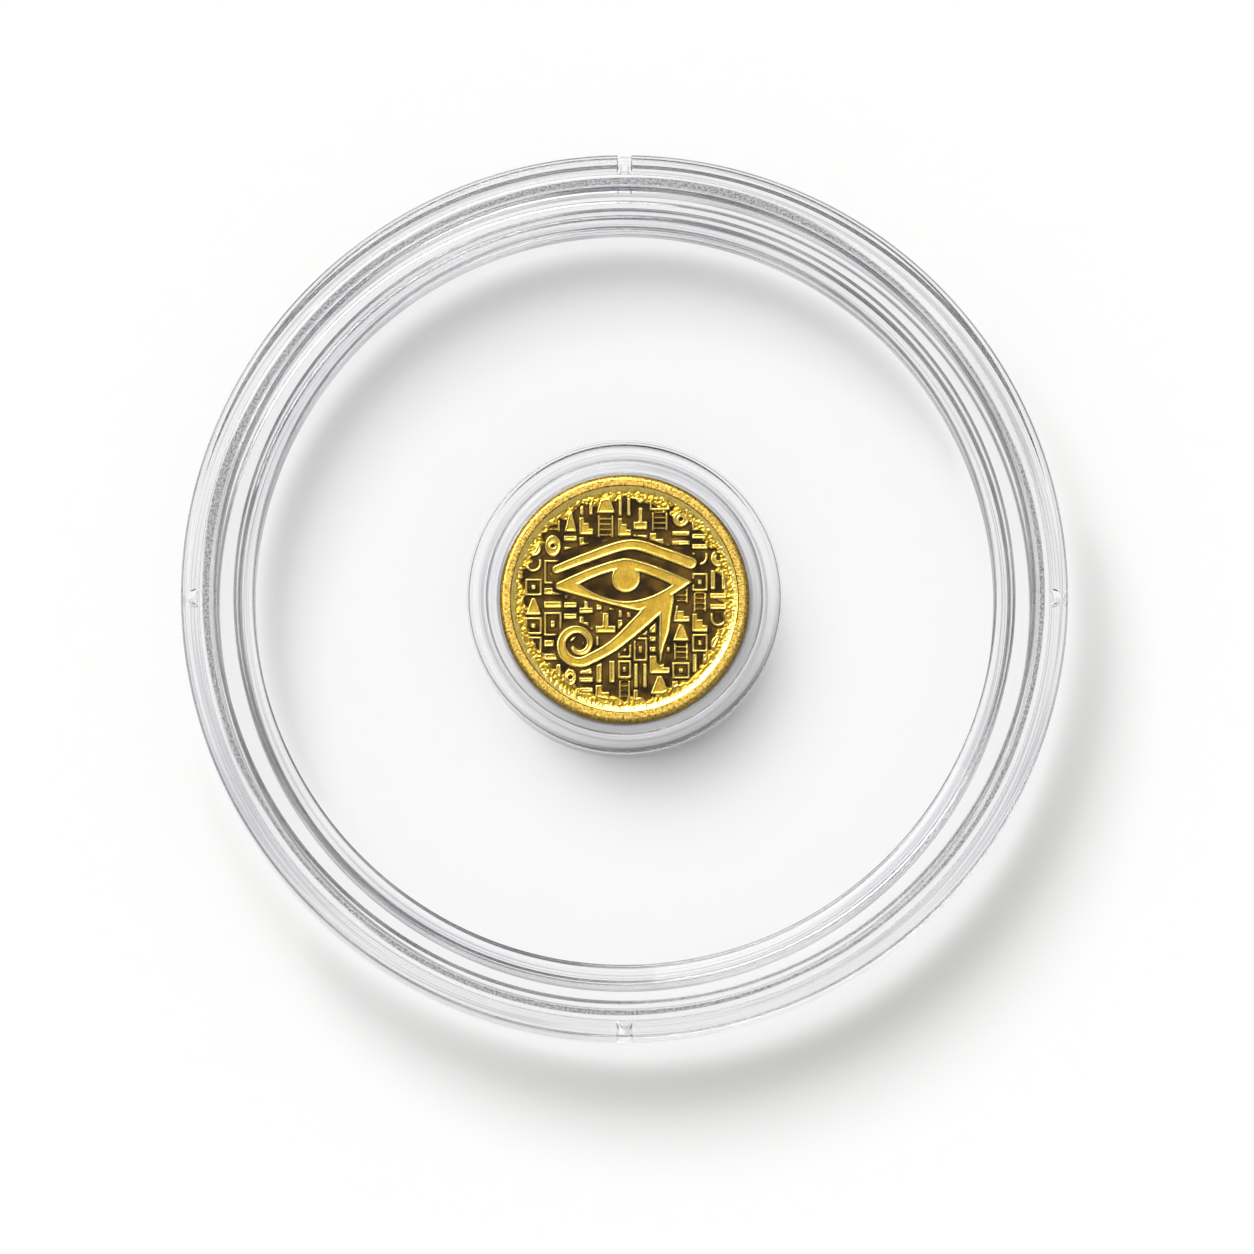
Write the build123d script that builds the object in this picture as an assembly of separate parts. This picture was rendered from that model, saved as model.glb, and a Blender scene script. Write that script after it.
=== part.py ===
"""Clear coin capsule: a small two-shell capsule with its coin, held at the centre of a large one.

Millimetres, +Z up. The origin is on the capsules' common axis, on the plane the foot ring stands on.
Every shell is a turned solid; the lids pull straight off along +Z.
"""
import os

from build123d import *

# Coin
COIN_DIAMETER = 24.0
COIN_THICKNESS = 2.2
COIN_RIM_WIDTH = 1.2
COIN_RIM_RISE = 0.15
COIN_EDGE_ROUND = 0.15

# Small capsule, built outwards from the coin
SMALL_WINDOW = 1.3
SMALL_RIM_RISE = 0.5
SMALL_SPIGOT_WALL = 1.6
SMALL_SKIRT_WALL = 1.2
SMALL_RIM_INSET = 0.55
SMALL_SHOULDER_RISE = 0.6
SMALL_EDGE_ROUND = 0.45
SMALL_CORNER_ROUND = 0.12

# Large capsule, built inwards from its outside diameter
LARGE_DIAMETER = 85.0
LARGE_WINDOW = 1.5
LARGE_RIM_RISE = 1.2
LARGE_STEP_DROP = 0.5
LARGE_RIM_WIDTH = 3.3
LARGE_STEP_WIDTH = 1.9
LARGE_WELL_WALL = 1.6
LARGE_SKIRT_WALL = 1.65
LARGE_SPIGOT_WALL = 1.1
LARGE_CHANNEL_SKIN = 1.5
LARGE_SHOULDER_RISE = 1.3
LARGE_EDGE_ROUND = 0.7
LARGE_CORNER_ROUND = 0.2
SEAT_DEPTH = 0.3

# Keys that stop the large lid turning
KEY_COUNT = 4
KEY_WIDTH = 1.3
KEY_REACH = 0.9
KEY_TOP_GAP = 0.6

# Flat left on the outside of the large shells where the moulding gate was trimmed
GATE_WIDTH = 1.3
GATE_DEPTH = 0.2

# Clearances
COIN_SIDE_CLEARANCE = 0.15
COIN_HEADROOM = 0.2
SPIGOT_CLEARANCE = 0.05
SPIGOT_HEADROOM = 0.1
SEAT_SIDE_CLEARANCE = 0.12
SEAT_HEADROOM = 0.1
WELL_RING_GAP = 0.2
KEY_CLEARANCE = 0.08

# Coin and well
coin_radius = COIN_DIAMETER / 2
small_well_radius = coin_radius + COIN_SIDE_CLEARANCE
small_well_height = COIN_THICKNESS + COIN_HEADROOM

# Heights inside the small capsule, from its own foot
small_floor = SMALL_RIM_RISE + SMALL_WINDOW
small_shoulder = small_floor + SMALL_SHOULDER_RISE
small_roof = small_floor + small_well_height
small_height = small_roof + SMALL_WINDOW + SMALL_RIM_RISE

# Radii across the small rim, from the inside out
small_spigot_radius = small_well_radius + SMALL_SPIGOT_WALL
small_skirt_bore = small_spigot_radius + SPIGOT_CLEARANCE
small_radius = small_skirt_bore + SMALL_SKIRT_WALL
small_rim_inner = small_spigot_radius - SMALL_RIM_INSET

# Heights inside the large capsule, from the foot ring
large_floor = LARGE_RIM_RISE + LARGE_WINDOW
large_shoulder = large_floor + LARGE_SHOULDER_RISE
large_channel_floor = LARGE_STEP_DROP + LARGE_CHANNEL_SKIN
seat_floor = large_floor - SEAT_DEPTH
seat_roof = seat_floor + small_height + SEAT_HEADROOM
large_roof = seat_roof - SEAT_DEPTH
large_height = large_roof + LARGE_WINDOW + LARGE_RIM_RISE
large_channel_roof = large_height - large_channel_floor
seat_radius = small_radius + SEAT_SIDE_CLEARANCE

# Radii across the large rim, from the outside in
large_radius = LARGE_DIAMETER / 2
large_skirt_bore = large_radius - LARGE_SKIRT_WALL
large_spigot_radius = large_skirt_bore - SPIGOT_CLEARANCE
large_spigot_bore = large_spigot_radius - LARGE_SPIGOT_WALL
large_rim_inner = large_radius - LARGE_RIM_WIDTH
large_step_inner = large_rim_inner - LARGE_STEP_WIDTH
large_well_radius = large_step_inner - LARGE_WELL_WALL


def turned(*corners):
    """A solid of revolution about Z; each corner is (radius, height, rounding)."""
    points = [(radius, height) for radius, height, rounding in corners]
    roundings = [rounding for radius, height, rounding in corners]
    outline = FilletPolyline(*points, radius=roundings, close=True)
    return revolve(Plane.XZ * make_face(outline), axis=Axis.Z)


def key_solid(height, grow):
    """One upright key on the +X side, half sunk in the spigot, with a round nose."""
    half_width = KEY_WIDTH / 2 + grow
    nose = large_spigot_radius + KEY_REACH + grow
    root = large_spigot_radius - LARGE_SPIGOT_WALL / 2
    nose_centre = nose - half_width
    bar = Pos((root + nose_centre) / 2, 0) * Rectangle(nose_centre - root, 2 * half_width)
    plan = bar + Pos(nose_centre, 0) * Circle(half_width)
    return extrude(plan, amount=height)


def key_ring(bottom, top, grow=0.0):
    """The keys at equal angles round the spigot, standing between two heights."""
    key = Pos(0, 0, bottom) * key_solid(top - bottom, grow)
    return [Rot(0, 0, turn * 360 / KEY_COUNT) * key for turn in range(KEY_COUNT)]


def seat_cut(bottom, top):
    """The shallow round seat that centres the small capsule on a window."""
    return Pos(0, 0, (bottom + top) / 2) * Cylinder(seat_radius, top - bottom)


def gate_cut():
    """The block that leaves the trimmed gate's flat on the rear of the rim."""
    place = Pos(0, large_radius, large_height / 2)
    return place * Box(GATE_WIDTH, 2 * GATE_DEPTH, 2 * large_height)


def make_outer_base():
    """Large base: window, well ring, spigot and the shoulder the lid lands on."""
    spigot_top = large_channel_roof - SPIGOT_HEADROOM
    ring_top = large_height / 2 - WELL_RING_GAP / 2
    ring_outer = large_well_radius + LARGE_WELL_WALL
    shell = turned(
        (0, LARGE_RIM_RISE, 0),
        (large_well_radius, LARGE_RIM_RISE, LARGE_CORNER_ROUND),
        (large_step_inner, LARGE_STEP_DROP, LARGE_CORNER_ROUND),
        (large_rim_inner, LARGE_STEP_DROP, LARGE_CORNER_ROUND),
        (large_rim_inner, 0, LARGE_CORNER_ROUND),
        (large_radius, 0, LARGE_EDGE_ROUND),
        (large_radius, large_shoulder, 0),
        (large_spigot_radius, large_shoulder, 0),
        (large_spigot_radius, spigot_top, LARGE_CORNER_ROUND),
        (large_spigot_bore, spigot_top, LARGE_CORNER_ROUND),
        (large_spigot_bore, large_channel_floor, LARGE_CORNER_ROUND),
        (ring_outer, large_channel_floor, LARGE_CORNER_ROUND),
        (ring_outer, ring_top, LARGE_CORNER_ROUND),
        (large_well_radius, ring_top, LARGE_CORNER_ROUND),
        (large_well_radius, large_floor, LARGE_CORNER_ROUND),
        (0, large_floor, 0),
    )
    shell -= seat_cut(seat_floor, large_floor)
    for key in key_ring(large_shoulder, spigot_top - KEY_TOP_GAP):
        shell += key
    return shell - gate_cut()


def make_outer_lid():
    """Large lid: the same window and well ring, with a skirt that drops over the spigot."""
    ring_bottom = large_height / 2 + WELL_RING_GAP / 2
    ring_outer = large_well_radius + LARGE_WELL_WALL
    window_top = large_height - LARGE_RIM_RISE
    step_top = large_height - LARGE_STEP_DROP
    shell = turned(
        (0, large_roof, 0),
        (large_well_radius, large_roof, LARGE_CORNER_ROUND),
        (large_well_radius, ring_bottom, LARGE_CORNER_ROUND),
        (ring_outer, ring_bottom, LARGE_CORNER_ROUND),
        (ring_outer, large_channel_roof, LARGE_CORNER_ROUND),
        (large_skirt_bore, large_channel_roof, 0),
        (large_skirt_bore, large_shoulder, 0),
        (large_radius, large_shoulder, 0),
        (large_radius, large_height, LARGE_EDGE_ROUND),
        (large_rim_inner, large_height, LARGE_CORNER_ROUND),
        (large_rim_inner, step_top, LARGE_CORNER_ROUND),
        (large_step_inner, step_top, LARGE_CORNER_ROUND),
        (large_well_radius, window_top, LARGE_CORNER_ROUND),
        (0, window_top, 0),
    )
    shell -= seat_cut(large_roof, seat_roof)
    slot_top = large_channel_roof - SPIGOT_HEADROOM - KEY_TOP_GAP + KEY_CLEARANCE
    for slot in key_ring(large_shoulder, slot_top, KEY_CLEARANCE):
        shell -= slot
    return shell - gate_cut()


def make_inner_base():
    """Small base: window, coin well and the spigot wall round it, standing in the seat."""
    spigot_top = small_roof - SPIGOT_HEADROOM
    shell = turned(
        (0, SMALL_RIM_RISE, 0),
        (small_rim_inner, SMALL_RIM_RISE, SMALL_CORNER_ROUND),
        (small_rim_inner, 0, SMALL_CORNER_ROUND),
        (small_radius, 0, SMALL_EDGE_ROUND),
        (small_radius, small_shoulder, 0),
        (small_spigot_radius, small_shoulder, 0),
        (small_spigot_radius, spigot_top, SMALL_CORNER_ROUND),
        (small_well_radius, spigot_top, SMALL_CORNER_ROUND),
        (small_well_radius, small_floor, SMALL_CORNER_ROUND),
        (0, small_floor, 0),
    )
    return Pos(0, 0, seat_floor) * shell


def make_inner_lid():
    """Small lid: window over the coin and a skirt that drops over the small spigot."""
    shell = turned(
        (0, small_roof, 0),
        (small_skirt_bore, small_roof, 0),
        (small_skirt_bore, small_shoulder, 0),
        (small_radius, small_shoulder, 0),
        (small_radius, small_height, SMALL_EDGE_ROUND),
        (small_rim_inner, small_height, SMALL_CORNER_ROUND),
        (small_rim_inner, small_height - SMALL_RIM_RISE, SMALL_CORNER_ROUND),
        (0, small_height - SMALL_RIM_RISE, 0),
    )
    return Pos(0, 0, seat_floor) * shell


def make_coin():
    """Coin: a struck disc with a raised rim on both faces, lying on the small window."""
    rim_inner = coin_radius - COIN_RIM_WIDTH
    disc = turned(
        (0, COIN_RIM_RISE, 0),
        (rim_inner, COIN_RIM_RISE, 0),
        (rim_inner + COIN_RIM_RISE, 0, 0),
        (coin_radius, 0, COIN_EDGE_ROUND),
        (coin_radius, COIN_THICKNESS, COIN_EDGE_ROUND),
        (rim_inner + COIN_RIM_RISE, COIN_THICKNESS, 0),
        (rim_inner, COIN_THICKNESS - COIN_RIM_RISE, 0),
        (0, COIN_THICKNESS - COIN_RIM_RISE, 0),
    )
    return Pos(0, 0, seat_floor + small_floor) * disc


makers = {
    "outer_base": make_outer_base,
    "outer_lid": make_outer_lid,
    "inner_base": make_inner_base,
    "inner_lid": make_inner_lid,
    "coin": make_coin,
}

os.makedirs("parts", exist_ok=True)
for name, maker in makers.items():
    piece = maker()
    export_step(piece, f"parts/{name}.step")
    print(f"{name}: {piece.volume:.1f} mm3")
print(f"overall: {LARGE_DIAMETER:.1f} across, {large_height:.1f} high")
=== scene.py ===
"""Clear display capsule that holds a small coin capsule at its centre, with the struck coin inside."""
import math

import bpy
import numpy as np
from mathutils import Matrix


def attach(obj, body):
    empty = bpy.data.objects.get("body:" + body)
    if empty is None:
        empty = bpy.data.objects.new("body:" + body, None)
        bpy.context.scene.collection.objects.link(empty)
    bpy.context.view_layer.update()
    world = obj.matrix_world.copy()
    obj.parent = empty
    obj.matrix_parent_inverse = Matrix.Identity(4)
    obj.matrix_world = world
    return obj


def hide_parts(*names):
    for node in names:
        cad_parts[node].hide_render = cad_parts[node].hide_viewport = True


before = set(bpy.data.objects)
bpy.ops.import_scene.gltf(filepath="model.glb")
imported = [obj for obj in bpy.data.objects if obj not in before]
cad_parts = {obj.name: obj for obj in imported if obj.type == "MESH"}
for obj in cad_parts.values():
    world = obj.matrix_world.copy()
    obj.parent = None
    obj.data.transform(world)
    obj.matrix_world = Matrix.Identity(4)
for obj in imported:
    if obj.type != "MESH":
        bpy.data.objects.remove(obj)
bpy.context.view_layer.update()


# ---------------------------------------------------------------- large base
# The lower half of the display capsule: one clear polystyrene moulding with a window, a foot ring,
# a well ring and a spigot wall that carries four upright keys. It is moulded in a polished tool.
MM = 0.001
LARGE_RADIUS = 42.5
SPIGOT_RADIUS = 40.8
SPIGOT_BORE = 39.7
RIM_INNER = 39.2
LEDGE_INNER = 37.3
WELL_RADIUS = 35.7
SEAT_RADIUS = 15.12
LEDGE_FOOT = 0.5
WINDOW_FOOT = 1.2
CHANNEL_FLOOR = 2.0
SEAT_FLOOR = 2.4
LARGE_FLOOR = 2.7
SHOULDER = 4.0
RING_TOP = 5.35
KEY_TOP = 8.2
SPIGOT_TOP = 8.8
EDGE_ROUND = 0.7
CORNER_ROUND = 0.2
EASE = 0.05
RIM_CLEAR = 41.9
RING_CLEAR = 36.4
KEYS = 4
KEY_HALF_WIDTH = 0.65
KEY_REACH = 0.9
KEY_SLOPE = 0.1
NEAR_WALL = 0.035
GATE_HALF_WIDTH = 0.65
GATE_DEPTH = 0.2
TURN_STEPS = 640
KEY_STEPS = 40
KEY_SPREAD = math.radians(1.45)
CLEAR, WALL, CORNER, LAND, KEY = range(5)

even_angles = np.linspace(-math.pi, math.pi, TURN_STEPS, endpoint=False) + math.pi / TURN_STEPS
key_offsets = np.linspace(-KEY_SPREAD, KEY_SPREAD, KEY_STEPS)
key_centres = np.arange(KEYS) * 2 * math.pi / KEYS - math.pi / 2
key_angles = (key_centres[:, None] + key_offsets[None, :]).ravel()
from_key = np.abs((even_angles[:, None] - key_centres[None, :] + math.pi) % (2 * math.pi) - math.pi)
large_angles = np.concatenate([even_angles[from_key.min(axis=1) > KEY_SPREAD], key_angles])
large_angles = np.sort((large_angles + math.pi) % (2 * math.pi) - math.pi)


def rounded(corners, steps=7, least=0.03, shortest=1e-5):
    """Outline points (radius, height) in millimetres, from corners (radius, height, rounding).

    Each corner is replaced by the arc that touches both of its sides: the arc's centre lies on the
    corner's bisector, rounding / sin(half angle) away, and its points turn evenly from side to side.
    The second answer is the rounding each point's following row belongs to, or 0 for a straight row.
    """
    table = np.array(corners, float)
    place = table[:, :2]
    here = place[1:-1]
    back = place[:-2] - here
    ahead = place[2:] - here
    back /= np.linalg.norm(back, axis=1, keepdims=True)
    ahead /= np.linalg.norm(ahead, axis=1, keepdims=True)
    half = np.arccos(np.clip((back * ahead).sum(axis=1), -1, 1)) / 2
    bisector = back + ahead
    bisector /= np.maximum(np.linalg.norm(bisector, axis=1, keepdims=True), 1e-9)
    size = np.maximum(table[1:-1, 2], least)
    centre = here + bisector * (size / np.sin(half))[:, None]
    start = here + back * (size / np.tan(half))[:, None] - centre
    end = here + ahead * (size / np.tan(half))[:, None] - centre
    sweep = np.maximum(math.pi - 2 * half, 1e-6)
    share = np.linspace(0, 1, steps)[None, :, None]
    sweep = sweep[:, None, None]
    arc = np.sin((1 - share) * sweep) * start[:, None] + np.sin(share * sweep) * end[:, None]
    arc = centre[:, None] + arc / np.sin(sweep)
    outline = np.concatenate([place[:1], arc.reshape(-1, 2), place[-1:]])
    bend = np.repeat(size[:, None], steps, axis=1)
    bend[:, -1] = 0
    whole = np.linalg.norm(np.diff(outline, axis=0), axis=1) > shortest
    return outline[np.concatenate([[True], whole])], np.concatenate([[0], bend.ravel()])[whole]


def key_bulge(angles, grow=0.0):
    """How far a key stands out of the spigot at each angle: a round nose on a straight bar."""
    away = (angles[:, None] - key_centres[None, :] + math.pi) % (2 * math.pi) - math.pi
    across = np.abs(away).min(axis=1) * SPIGOT_RADIUS
    half_width = KEY_HALF_WIDTH + grow
    nose = np.sqrt(np.maximum(half_width ** 2 - across ** 2, 0))
    return np.where(across < half_width, KEY_REACH + grow - half_width + nose, 0)


def area_normals(points, closed_ends):
    """Vertex normals of a grid that closes round its second index, weighted by face area.

    Each face's vector is half the cross product of its diagonals, and a vertex adds up its four.
    """
    following = np.roll(points, -1, axis=1)
    first = following[1:] - points[:-1]
    second = points[1:] - following[:-1]
    faces = np.cross(first, second) * 0.5
    total = np.zeros_like(points)
    total[:-1] += faces + np.roll(faces, 1, axis=1)
    total[1:] += faces + np.roll(faces, 1, axis=1)
    if closed_ends:
        total[0] = total[0].mean(axis=0)
        total[-1] = total[-1].mean(axis=0)
    return total / np.maximum(np.linalg.norm(total, axis=2, keepdims=True), 1e-18)


def row_slots(outline, bend, angles, lands=()):
    """The finish by row and angle: clear flats, upright walls, tight corners or lands.

    A row is a wall when it rises more than 1.6 times what it runs. A rounding of 0.1 to 0.3 mm is a
    tight corner, and so is the steep half of a larger one. Lands are the flats at the given heights.
    """
    run, rise = np.abs(np.diff(outline, axis=0)).T
    slots = np.where(rise > 1.6 * run, WALL, CLEAR)
    slots[(bend > 0.1) & ((bend < 0.3) | (rise > run))] = CORNER
    for height in lands:
        level = np.abs(outline[:, 1] - height) < 0.01
        slots[level[:-1] & level[1:] & (bend == 0)] = LAND
    return np.repeat(slots[:, None], len(angles), axis=1)


def turned(name, outline, slots, angles, bulge=None, bulging=None, gate=False):
    """A closed solid of revolution: point (s, a) is (r(s) cos a, r(s) sin a, z(s)), in metres.

    Rows picked by bulging stand further out by bulge at each angle, and the gate's flat cuts the
    rear of the rim. The outline starts and ends on the axis, where the grid closes in a pole.
    Slots give the finish by row and angle. Where a bulge stands out, its walls take the key's
    finish and its ends a land's.
    """
    radius = np.repeat(outline[:, :1], len(angles), axis=1)
    if bulge is not None:
        radius = radius + bulging[:, None] * bulge[None, :]
    x = radius * np.cos(angles)
    y = radius * np.sin(angles)
    if gate:
        y = np.where(np.abs(x) < GATE_HALF_WIDTH, np.minimum(y, LARGE_RADIUS - GATE_DEPTH), y)
    z = np.repeat(outline[:, 1:], len(angles), axis=1)
    grid = np.stack([x, y, z], axis=2) * MM
    normals = area_normals(grid, True)
    rows, count = len(outline) - 2, len(angles)
    points = np.concatenate([grid[1:-1].reshape(-1, 3), grid[:1, 0], grid[-1:, 0]])
    vectors = np.concatenate([normals[1:-1].reshape(-1, 3), normals[:1, 0], normals[-1:, 0]])
    index = np.arange(rows * count).reshape(rows, count)
    turned_index = np.roll(index, -1, axis=1)
    quads = np.stack([index[:-1], turned_index[:-1], turned_index[1:], index[1:]], axis=2)
    low_pole = np.full(count, rows * count)
    high_pole = low_pole + 1
    low_fan = np.stack([low_pole, turned_index[0], index[0]], axis=1)
    high_fan = np.stack([high_pole, index[-1], turned_index[-1]], axis=1)
    fans = np.concatenate([low_fan, high_fan])
    piece = closed_piece(name, points, quads.reshape(-1, 4), fans, vectors)
    finish = slots[1:-1]
    if bulge is not None:
        here = (np.maximum(bulge, np.roll(bulge, -1)) > 0)[None, :]
        finish = np.where(here & bulging[1:-2, None] & bulging[2:-1, None], KEY, finish)
        finish = np.where(here & (bulging[1:-2] != bulging[2:-1])[:, None], LAND, finish)
    ends = slots[[0, -1]]
    finish = np.concatenate([finish.ravel(), ends.ravel()]).astype(np.int32)
    piece.data.polygons.foreach_set("material_index", finish)
    return piece


def closed_piece(name, points, quads, triangles, normals):
    """A mesh object from whole arrays of points, four-sided and three-sided faces and normals."""
    mesh = bpy.data.meshes.new(name)
    mesh.vertices.add(len(points))
    mesh.vertices.foreach_set("co", points.astype(np.float32).ravel())
    corners = np.concatenate([quads.ravel(), triangles.ravel()])
    sides = np.concatenate([np.full(len(quads), 4), np.full(len(triangles), 3)])
    mesh.loops.add(len(corners))
    mesh.loops.foreach_set("vertex_index", corners.astype(np.int32))
    mesh.polygons.add(len(sides))
    mesh.polygons.foreach_set("loop_start", (np.cumsum(sides) - sides).astype(np.int32))
    mesh.update(calc_edges=True)
    mesh.normals_split_custom_set_from_vertices(normals.tolist())
    piece = bpy.data.objects.new(name, mesh)
    bpy.context.scene.collection.objects.link(piece)
    return piece


class Wire:
    """A number on a node's socket; arithmetic on wires adds Math nodes to the finish's tree."""

    def __init__(self, finish, socket):
        self.finish = finish
        self.socket = socket

    def maths(self, operation, *values):
        return self.finish.node("Math", {"operation": operation}, dict(enumerate(values)))

    def __add__(self, other):
        return self.maths("ADD", self, other)

    def __radd__(self, other):
        return self.maths("ADD", other, self)

    def __sub__(self, other):
        return self.maths("SUBTRACT", self, other)

    def __rsub__(self, other):
        return self.maths("SUBTRACT", other, self)

    def __mul__(self, other):
        return self.maths("MULTIPLY", self, other)

    def __rmul__(self, other):
        return self.maths("MULTIPLY", other, self)

    def __truediv__(self, other):
        return self.maths("DIVIDE", self, other)

    def __pow__(self, other):
        return self.maths("POWER", self, other)

    def clipped(self, low, high):
        """0 below low, 1 above high and a smooth rise between them."""
        return self.finish.node(
            "MapRange", {"interpolation_type": "SMOOTHSTEP"}, {0: self, 1: low, 2: high}
        )


class Finish:
    """A material and the nodes that make it."""

    def __init__(self, name):
        self.material = bpy.data.materials.new(name)
        self.material.use_nodes = True
        self.tree = self.material.node_tree
        self.tree.nodes.clear()
        self.output = self.tree.nodes.new("ShaderNodeOutputMaterial")

    def node(self, kind, settings=None, sockets=None, out=0):
        """Add a node: its settings first, then the values or wires of its sockets."""
        made = self.tree.nodes.new("ShaderNode" + kind)
        for key, value in (settings or {}).items():
            setattr(made, key, value)
        for key, value in (sockets or {}).items():
            if isinstance(value, Wire):
                self.tree.links.new(value.socket, made.inputs[key])
            else:
                made.inputs[key].default_value = value
        return Wire(self, made.outputs[out])

    def place(self):
        """The point's own place on the object, in metres."""
        return self.node("TexCoord", out=3)

    def noise(self, size_mm, detail=2.0, place=None):
        """Even noise whose blobs are about size_mm across."""
        settings = {"noise_dimensions": "3D"}
        where = place or self.place()
        sockets = {"Vector": where, "Scale": 1 / (size_mm * MM), "Detail": detail}
        return self.node("TexNoise", settings, sockets)

    def polar(self):
        """The wires x, y and distance from the axis, the last in millimetres."""
        x = self.node("SeparateXYZ", None, {0: self.place()})
        y = Wire(self, x.socket.node.outputs[1])
        return x, y, (x * x + y * y) ** 0.5 / MM

    def rings(self, fineness):
        """Distance from the axis in millimetres, and noise that runs along circles round it.

        The noise changes fineness times a millimetre across the circles, and slowly along them.
        """
        x, y, distance = self.polar()
        along = self.node("CombineXYZ", None, {0: x * 25.0, 1: y * 25.0, 2: distance * fineness})
        sockets = {"Vector": along, "Scale": 1.0, "Detail": 2.0}
        return distance, self.node("TexNoise", {"noise_dimensions": "3D"}, sockets)

    def mix(self, share, first, second):
        """A colour between first and second by share."""
        colours = {"Factor": share, 6: first, 7: second}
        return self.node("Mix", {"data_type": "RGBA"}, colours, out=2)

    def surface(self, shader):
        self.tree.links.new(shader.socket, self.output.inputs["Surface"])
        return self.material


def clear_plastic(name, tint, shade, wave_mm, wave_depth, blur=0.0, ior=1.5, clear=1.0, drift_mm=14.0,
                  fineness=0.0, inside=0.0, outside=0.0):
    """Clear moulded plastic, which bends light. The rays that carry shadows and soft light to other
    surfaces pass straight through instead, dimmed by shade.

    The tool's polish leaves a very slight waviness, which the bump gives. The tint deepens and
    fades in patches about drift_mm across, and what isn't clear is milky. With a fineness the tint
    keeps to fine rings instead. With an outside radius it keeps to a band that starts at the inside
    radius and has a ragged outer edge.
    """
    finish = Finish(name)
    waves = finish.noise(wave_mm, 2.0)
    wave = finish.node("Bump", None, {"Strength": 1.0, "Distance": wave_depth * MM, "Height": waves})
    if fineness:
        lines = finish.rings(fineness)[1]
        pale = tuple(1 - 0.15 * (1 - part) for part in tint)
        patches = finish.mix(lines.clipped(0.4, 0.5), (*tint, 1), (*pale, 1))
    else:
        drift = finish.noise(drift_mm, 3.0)
        pale = tuple(1 - 0.7 * (1 - part) for part in tint)
        patches = finish.mix(drift.clipped(0.35, 0.65), (*tint, 1), (*pale, 1))
    if outside:
        distance, lines = finish.rings(1.0)
        beyond = (distance + (lines - 0.5) * 1.4).clipped(outside - 0.08, outside + 0.08)
        within = 1 - distance.clipped(inside - 0.05, inside + 0.05)
        patches = finish.mix(beyond.maths("MAXIMUM", beyond, within), patches, (0.985, 0.985, 0.99, 1))
    body = finish.node("BsdfPrincipled", None, {
        "Base Color": patches, "Roughness": blur, "IOR": ior, "Transmission Weight": clear,
        "Normal": wave})
    through = finish.node("BsdfTransparent", None, {"Color": (*shade, 1)})
    shadow_ray = finish.node("LightPath", out=1)
    soft_ray = finish.node("LightPath", out=2)
    straight = shadow_ray.maths("MAXIMUM", shadow_ray, soft_ray)
    return finish.surface(finish.node("MixShader", None, {0: straight, 1: body, 2: through}))


def dress(piece, *finishes):
    """Give a piece its finishes in slot order."""
    for finish in finishes:
        piece.data.materials.append(finish)


base_window = clear_plastic(
    "large_base_window", tint=(0.998, 0.998, 1.0), shade=(0.998, 0.998, 0.998),
    wave_mm=9.0, wave_depth=0.0004, ior=1.2)
base_wall = clear_plastic(
    "large_base_wall", tint=(0.995, 0.995, 1.0), shade=(0.98, 0.98, 0.98), wave_mm=3.0, wave_depth=0.001)
# Painted shade: the dark tint on tight corners draws the dark lines that clear corners show.
base_corner_painted_shade = clear_plastic(
    "large_base_corner", tint=(0.3, 0.3, 0.33), shade=(0.98, 0.98, 0.98), wave_mm=1.2, wave_depth=0.001)
# Painted shade: the tint draws fine dark rings on the flat lands, where grey lines show.
base_land_painted_shade = clear_plastic(
    "large_base_land", tint=(0.55, 0.55, 0.6), shade=(0.99, 0.99, 0.99),
    wave_mm=0.8, wave_depth=0.003, blur=0.08, ior=1.35, fineness=4.0)
key_wall = clear_plastic(
    "large_key_wall", tint=(1.0, 1.0, 1.0), shade=(0.98, 0.98, 0.98),
    wave_mm=1.0, wave_depth=0.001, blur=0.5, ior=1.1)
# Painted shade: a dark, mottled band with a ragged outer edge on the spigot's top.
spigot_top_painted_shade = clear_plastic(
    "large_spigot_top", tint=(0.07, 0.07, 0.078), shade=(0.98, 0.98, 0.98),
    wave_mm=0.4, wave_depth=0.004, blur=0.2, ior=1.4, drift_mm=0.22, inside=39.8, outside=40.3)
base_dusk = clear_plastic(
    "large_base_dusk", tint=(0.995, 0.995, 1.0), shade=(0.35, 0.35, 0.345), wave_mm=3.0, wave_depth=0.001)
SPIGOT_TOP_SLOT = 5
BASE_DUSK_SLOT = 6
SHADE_TURN = math.radians(-62)

base_outline, base_bend = rounded([
    (0, WINDOW_FOOT, 0), (WELL_RADIUS, WINDOW_FOOT, CORNER_ROUND),
    (LEDGE_INNER, LEDGE_FOOT, CORNER_ROUND), (RIM_INNER, LEDGE_FOOT, CORNER_ROUND),
    (RIM_INNER, 0, CORNER_ROUND), (LARGE_RADIUS, 0, EDGE_ROUND), (LARGE_RADIUS, SHOULDER, EASE),
    (RIM_CLEAR, SHOULDER, 0), (SPIGOT_RADIUS, SHOULDER, 0), (SPIGOT_RADIUS, KEY_TOP - KEY_SLOPE, 0),
    (SPIGOT_RADIUS, KEY_TOP, 0), (SPIGOT_RADIUS, SPIGOT_TOP, CORNER_ROUND),
    (SPIGOT_BORE, SPIGOT_TOP, CORNER_ROUND), (SPIGOT_BORE, CHANNEL_FLOOR, CORNER_ROUND),
    (LEDGE_INNER, CHANNEL_FLOOR, CORNER_ROUND), (LEDGE_INNER, RING_TOP, CORNER_ROUND),
    (RING_CLEAR, RING_TOP, 0), (WELL_RADIUS, RING_TOP, CORNER_ROUND),
    (WELL_RADIUS, LARGE_FLOOR, CORNER_ROUND), (SEAT_RADIUS, LARGE_FLOOR, EASE),
    (SEAT_RADIUS, SEAT_FLOOR, EASE), (0, SEAT_FLOOR, 0)])
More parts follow.
